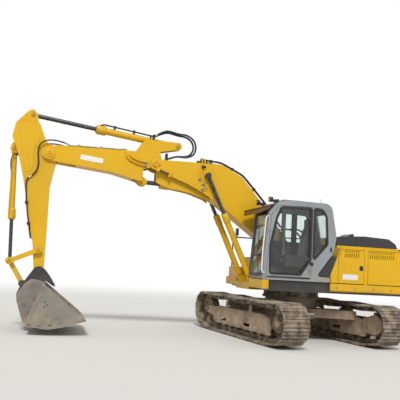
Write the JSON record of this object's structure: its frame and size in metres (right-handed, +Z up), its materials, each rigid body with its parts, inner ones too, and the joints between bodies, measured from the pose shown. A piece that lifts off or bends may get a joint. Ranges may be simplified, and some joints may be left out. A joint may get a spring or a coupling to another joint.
{
  "type": "crawler excavator",
  "caption": "Crawler excavator with a two-piece boom, quick hitch and wide ditching bucket; swinging upper body, opening doors and hood.",
  "frame": {"origin": "on the ground, on the swing axis", "axes": "+X forward along the boom, +Y to the cab's side, +Z up"},
  "size_m": [9.5228, 4.9463, 4.7439],
  "materials": {
    "yellow_paint": "satin",
    "dark_paint": "satin",
    "grey_paint": "satin",
    "chassis_paint": "matte",
    "track_steel": "matte",
    "running_gear": "matte",
    "chrome_rod": "polished",
    "cast_ballast": "satin",
    "window_glass": "polished",
    "black_plastic": "matte",
    "seat_cloth": "matte",
    "bare_steel": "worn",
    "hose_rubber": "matte"
  },
  "bodies": {
    "undercarriage": {"car_body": "chassis_paint", "left_track": "track_steel", "right_track": "track_steel", "track_frames": "chassis_paint", "rollers_and_idlers": "running_gear", "sprockets": "running_gear"},
    "upper_body": {"slew_ring": "running_gear", "deck_frame": "yellow_paint", "side_decks": "dark_paint", "skirts": "yellow_paint", "counterweight": "cast_ballast", "side_panels": "yellow_paint", "exhaust": "dark_paint", "engine_and_radiator": "running_gear", "right_side_tanks": "yellow_paint", "handrails": "dark_paint", "cab_shell": "grey_paint", "cab_windows": "window_glass", "cab_visor": "black_plastic", "seat_and_controls": "seat_cloth", "work_lamps": "black_plastic", "mirrors": "black_plastic"},
    "cab_door": {"cab_door": "grey_paint", "door_glass": "window_glass"},
    "left_front_door": {"left_front_door": "yellow_paint"},
    "left_rear_door": {"left_rear_door": "yellow_paint"},
    "right_door": {"right_door": "yellow_paint"},
    "engine_hood": {"engine_hood": "dark_paint"},
    "base_boom": {"base_boom": "yellow_paint", "boom_lines": "hose_rubber"},
    "boom_cylinder_barrel": {"boom_cylinder_barrel": "yellow_paint"},
    "boom_cylinder_rod": {"boom_cylinder_rod": "chrome_rod"},
    "fold_cylinder_barrel": {"fold_cylinder_barrel": "yellow_paint"},
    "fold_cylinder_rod": {"fold_cylinder_rod": "chrome_rod"},
    "front_boom": {"front_boom": "yellow_paint", "front_boom_lines": "hose_rubber"},
    "arm_cylinder_barrel": {"arm_cylinder_barrel": "yellow_paint"},
    "arm_cylinder_rod": {"arm_cylinder_rod": "chrome_rod"},
    "arm": {"arm": "yellow_paint"},
    "idler_links": {"idler_links": "yellow_paint"},
    "connecting_links": {"connecting_links": "yellow_paint"},
    "bucket_cylinder_barrel": {"bucket_cylinder_barrel": "yellow_paint"},
    "bucket_cylinder_rod": {"bucket_cylinder_rod": "chrome_rod"},
    "hitch_and_bucket": {"hitch": "dark_paint", "bucket": "bare_steel"}
  },
  "joints": [
    {"name": "swing", "type": "hinge", "parent": "undercarriage", "child": "upper_body", "pos_m": [0, 0, 1.03], "axis": [0, 0, 1], "continuous": true},
    {"name": "cab_door_hinge", "type": "hinge", "parent": "upper_body", "child": "cab_door", "pos_m": [1.152, 1.362, 2.1], "axis": [0, 0, -1], "range_deg": [0, 90]},
    {"name": "left_front_door_hinge", "type": "hinge", "parent": "upper_body", "child": "left_front_door", "pos_m": [-0.534, 1.355, 1.64], "axis": [0, 0, -1], "range_deg": [0, 90]},
    {"name": "left_rear_door_hinge", "type": "hinge", "parent": "upper_body", "child": "left_rear_door", "pos_m": [-1.254, 1.355, 1.64], "axis": [0, 0, -1], "range_deg": [0, 90]},
    {"name": "right_door_hinge", "type": "hinge", "parent": "upper_body", "child": "right_door", "pos_m": [-1.124, -1.355, 1.64], "axis": [0, 0, 1], "range_deg": [0, 90]},
    {"name": "engine_hood_hinge", "type": "hinge", "parent": "upper_body", "child": "engine_hood", "pos_m": [-0.606, 0, 2.316], "axis": [0, 1, 0], "range_deg": [0, 55]},
    {"name": "boom_lift", "type": "hinge", "parent": "upper_body", "child": "base_boom", "pos_m": [0.15, 0, 1.9], "axis": [0, -1, 0], "range_deg": [-33, 32]},
    {"name": "boom_cylinder_swing", "type": "hinge", "parent": "upper_body", "child": "boom_cylinder_barrel", "pos_m": [1.15, 0, 1.33], "axis": [0, -1, 0], "range_deg": [-32.9, 31.9]},
    {"name": "boom_cylinder_stroke", "type": "slide", "parent": "boom_cylinder_barrel", "child": "boom_cylinder_rod", "axis": [0.4366, 0, 0.8997], "range_m": [-0.658, 0.638]},
    {"name": "boom_fold", "type": "hinge", "parent": "base_boom", "child": "front_boom", "pos_m": [3.46, 0, 3.807], "axis": [0, 1, 0], "range_deg": [-25, 32]},
    {"name": "fold_cylinder_swing", "type": "hinge", "parent": "base_boom", "child": "fold_cylinder_barrel", "pos_m": [2.299, 0, 3.324], "axis": [0, 1, 0], "range_deg": [-4.2, 5.2]},
    {"name": "fold_cylinder_stroke", "type": "slide", "parent": "fold_cylinder_barrel", "child": "fold_cylinder_rod", "axis": [0.9995, 0, 0.0328], "range_m": [-0.263, 0.21]},
    {"name": "arm_pivot", "type": "hinge", "parent": "front_boom", "child": "arm", "pos_m": [5.804, 0, 3.788], "axis": [0, 1, 0], "range_deg": [-73, 47]},
    {"name": "arm_cylinder_swing", "type": "hinge", "parent": "front_boom", "child": "arm_cylinder_barrel", "pos_m": [2.956, 0, 4.248], "axis": [0, 1, 0], "range_deg": [-8.1, 5.6]},
    {"name": "arm_cylinder_stroke", "type": "slide", "parent": "arm_cylinder_barrel", "child": "arm_cylinder_rod", "axis": [0.9928, 0, 0.1196], "range_m": [-1.06, 0.69]},
    {"name": "bucket_pivot", "type": "hinge", "parent": "arm", "child": "hitch_and_bucket", "pos_m": [5.811, 0, 1.247], "axis": [0, -1, 0], "range_deg": [-50, 80]},
    {"name": "idler_link_swing", "type": "hinge", "parent": "arm", "child": "idler_links", "pos_m": [5.865, 0, 1.701], "axis": [0, -1, 0], "range_deg": [-36.8, 58.3]},
    {"name": "connecting_link_swing", "type": "hinge", "parent": "idler_links", "child": "connecting_links", "pos_m": [6.438, 0, 1.443], "axis": [0, -1, 0], "range_deg": [-47, 29.8]},
    {"name": "bucket_cylinder_swing", "type": "hinge", "parent": "arm", "child": "bucket_cylinder_barrel", "pos_m": [6.538, 0, 3.853], "axis": [0, -1, 0], "range_deg": [-2.8, 3.9]},
    {"name": "bucket_cylinder_stroke", "type": "slide", "parent": "bucket_cylinder_barrel", "child": "bucket_cylinder_rod", "axis": [-0.0415, 0, -0.9991], "range_m": [-0.598, 0.382]}
  ],
  "couplings": [
    {"joint": "boom_cylinder_swing", "follows": "boom_lift", "ratio": 0.9671},
    {"joint": "boom_cylinder_stroke", "follows": "boom_lift", "m_per_rad": 1.1071},
    {"joint": "fold_cylinder_swing", "follows": "boom_fold", "ratio": 0.13},
    {"joint": "fold_cylinder_stroke", "follows": "boom_fold", "m_per_rad": -0.435},
    {"joint": "arm_cylinder_swing", "follows": "arm_pivot", "ratio": 0.0979},
    {"joint": "arm_cylinder_stroke", "follows": "arm_pivot", "m_per_rad": 0.8163},
    {"joint": "idler_link_swing", "follows": "bucket_pivot", "ratio": 0.716},
    {"joint": "connecting_link_swing", "follows": "bucket_pivot", "ratio": -0.5752},
    {"joint": "bucket_cylinder_swing", "follows": "bucket_pivot", "ratio": 0.03565},
    {"joint": "bucket_cylinder_stroke", "follows": "bucket_pivot", "m_per_rad": -0.4143}
  ]
}
